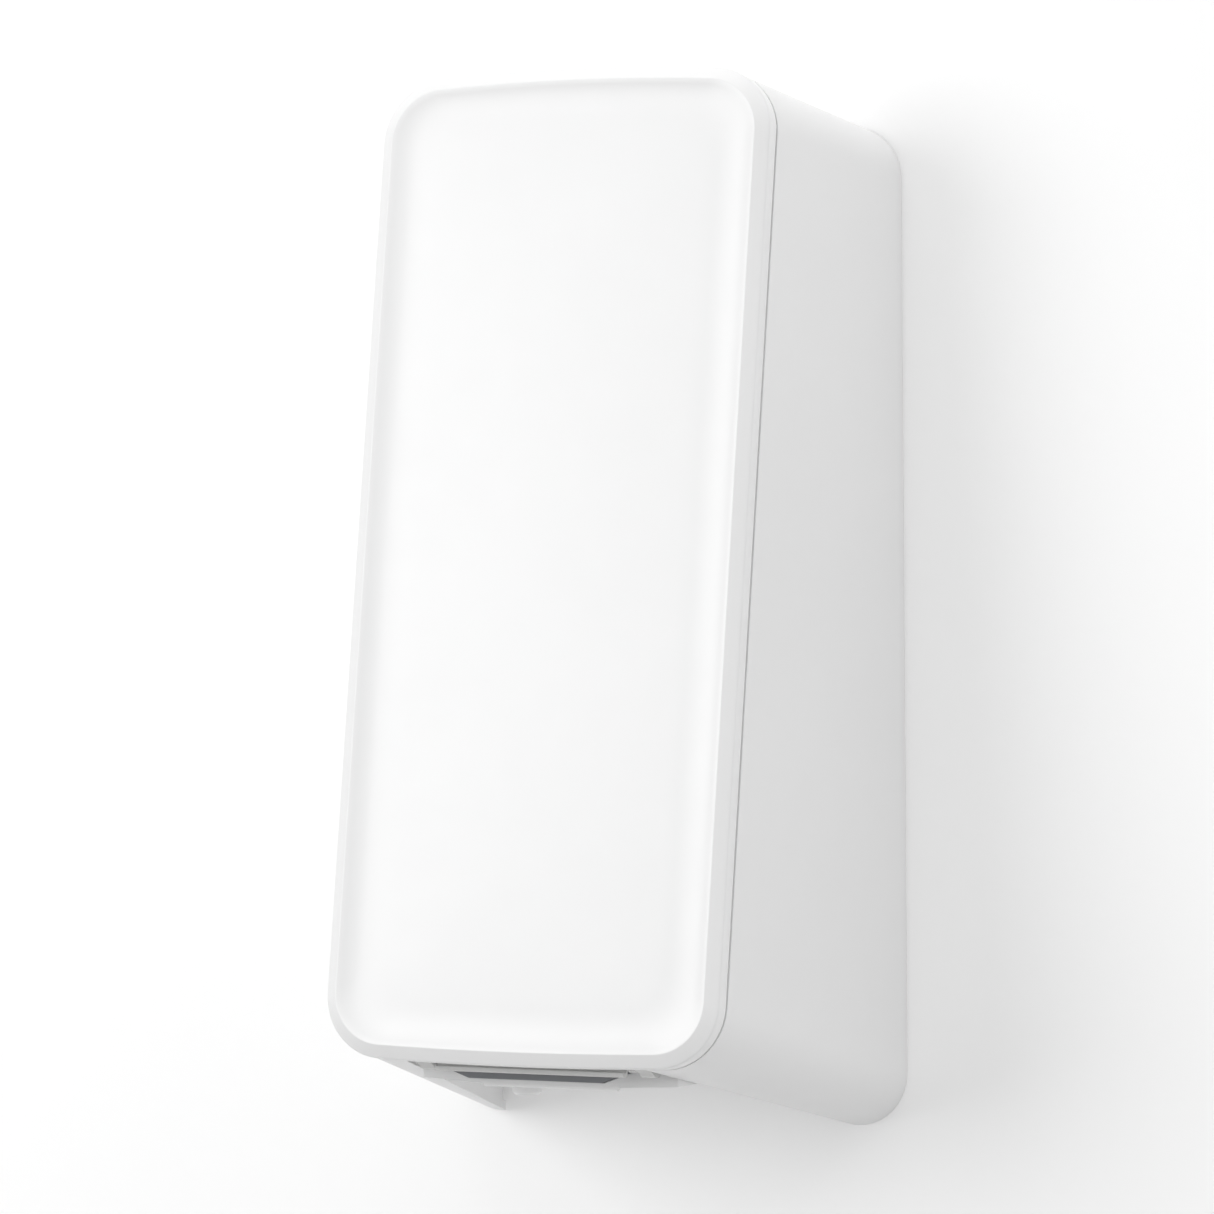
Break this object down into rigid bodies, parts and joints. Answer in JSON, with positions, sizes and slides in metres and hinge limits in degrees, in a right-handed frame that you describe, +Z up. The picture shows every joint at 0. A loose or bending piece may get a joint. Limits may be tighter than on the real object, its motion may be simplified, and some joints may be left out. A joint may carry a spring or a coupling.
{
  "type": "wall mounted soap dispenser",
  "caption": "Touch-free wall soap dispenser: flared white housing, dished front door hinged at the foot, refill bottle with piston pump, geared motor drive and battery case.",
  "frame": {"origin": "centre of the face that lies on the wall", "axes": "+Y into the wall, +Z up, +X to the right seen from the room"},
  "size_m": [0.14, 0.105, 0.2916],
  "materials": {
    "plate_abs": "moulded ABS",
    "shell_abs": "smooth white moulded ABS",
    "screw_steel": "zinc plated",
    "window_pc": "dark polished polycarbonate",
    "board_green": "solder mask",
    "diode_epoxy": "clear epoxy",
    "panel_abs": "smooth white moulded ABS",
    "pin_steel": "ground",
    "grey_nylon": "moulded nylon",
    "zinc_lock": "plated zinc",
    "bottle_hdpe": "blown polyethylene",
    "cap_pp": "moulded polypropylene",
    "pump_pp": "moulded polypropylene",
    "seal_rubber": "moulded",
    "spring_steel": "drawn wire",
    "gear_acetal": "moulded acetal",
    "brass_part": "machined",
    "motor_can": "plated can",
    "cell_sleeve": "printed sleeve",
    "contact_plate": "nickel plated",
    "chip_black": "moulded epoxy"
  },
  "bodies": {
    "housing": {"wall_plate": "plate_abs", "housing_shell": "shell_abs", "housing_screws": "screw_steel", "base_plate": "shell_abs", "base_screws": "screw_steel", "sensor_window": "window_pc", "sensor_board": "board_green", "infrared_pair": "diode_epoxy", "hinge_pins": "pin_steel", "lock_bracket": "grey_nylon", "lock_screws": "screw_steel", "bottle_shelf": "plate_abs", "shelf_screws": "screw_steel", "gearbox_case": "grey_nylon", "gearbox_cover": "grey_nylon", "gearbox_screws": "screw_steel", "gear_shafts": "pin_steel", "motor": "motor_can", "battery_case": "grey_nylon", "battery_cells": "cell_sleeve", "battery_contacts": "contact_plate", "control_board": "board_green", "board_parts": "chip_black"},
    "door": {"front_panel": "panel_abs", "door_frame": "plate_abs", "door_screws": "screw_steel"},
    "lock": {"lock_barrel": "zinc_lock", "lock_cam": "zinc_lock", "cam_screw": "screw_steel"},
    "bottle": {"soap_bottle": "bottle_hdpe", "bottle_cap": "cap_pp", "pump_cylinder": "pump_pp", "inlet_ball": "pin_steel", "pump_spring": "spring_steel"},
    "piston": {"pump_piston": "pump_pp", "piston_seal": "seal_rubber", "nozzle": "shell_abs", "outlet_valve": "seal_rubber"},
    "fork": {"lift_fork": "gear_acetal"},
    "output_gear": {"output_gear": "gear_acetal"},
    "idler_gear": {"idler_gear": "gear_acetal"},
    "motor_pinion": {"motor_pinion": "brass_part", "motor_shaft": "pin_steel"},
    "battery_cover": {"battery_cover": "plate_abs"}
  },
  "joints": [
    {"name": "door_hinge", "type": "hinge", "parent": "housing", "child": "door", "pos_m": [0, -0.08888, -0.11423], "axis": [1, 0, 0], "range_deg": [0, 90]},
    {"name": "lock_turn", "type": "hinge", "parent": "housing", "child": "lock", "pos_m": [0, -0.0436, 0.14031], "axis": [0, 0.1599, 0.9871], "range_deg": [0, 90]},
    {"name": "bottle_lift", "type": "slide", "parent": "housing", "child": "bottle", "axis": [0, 0, 1], "range_m": [0, 0.014]},
    {"name": "piston_stroke", "type": "slide", "parent": "bottle", "child": "piston", "axis": [0, 0, 1], "range_m": [0, 0.01001], "stiffness_N_per_m": 50, "springref_m": -0.012, "deforming": ["pump_spring"]},
    {"name": "output_turn", "type": "hinge", "parent": "housing", "child": "output_gear", "pos_m": [0.01806, -0.0614, -0.08796], "axis": [0, 1, 0], "range_deg": [0, 95.49]},
    {"name": "fork_lift", "type": "slide", "parent": "housing", "child": "fork", "axis": [0, 0, 1], "range_m": [0, 0.01001]},
    {"name": "idler_turn", "type": "hinge", "parent": "housing", "child": "idler_gear", "pos_m": [0.03906, -0.0564, -0.08796], "axis": [0, 1, 0], "range_deg": [-239.23, 0]},
    {"name": "motor_turn", "type": "hinge", "parent": "housing", "child": "motor_pinion", "pos_m": [0.04403, -0.0563, -0.06941], "axis": [0, 1, 0], "range_deg": [0, 717.65]},
    {"name": "battery_cover_slide", "type": "slide", "parent": "housing", "child": "battery_cover", "axis": [0, 0, 1], "range_m": [0, 0.055]}
  ],
  "couplings": [
    {"joint": "fork_lift", "follows": "output_turn", "m_per_rad": 0.006},
    {"joint": "piston_stroke", "follows": "output_turn", "m_per_rad": 0.006},
    {"joint": "idler_turn", "follows": "output_turn", "ratio": -2.5},
    {"joint": "motor_turn", "follows": "output_turn", "ratio": 7.5}
  ]
}
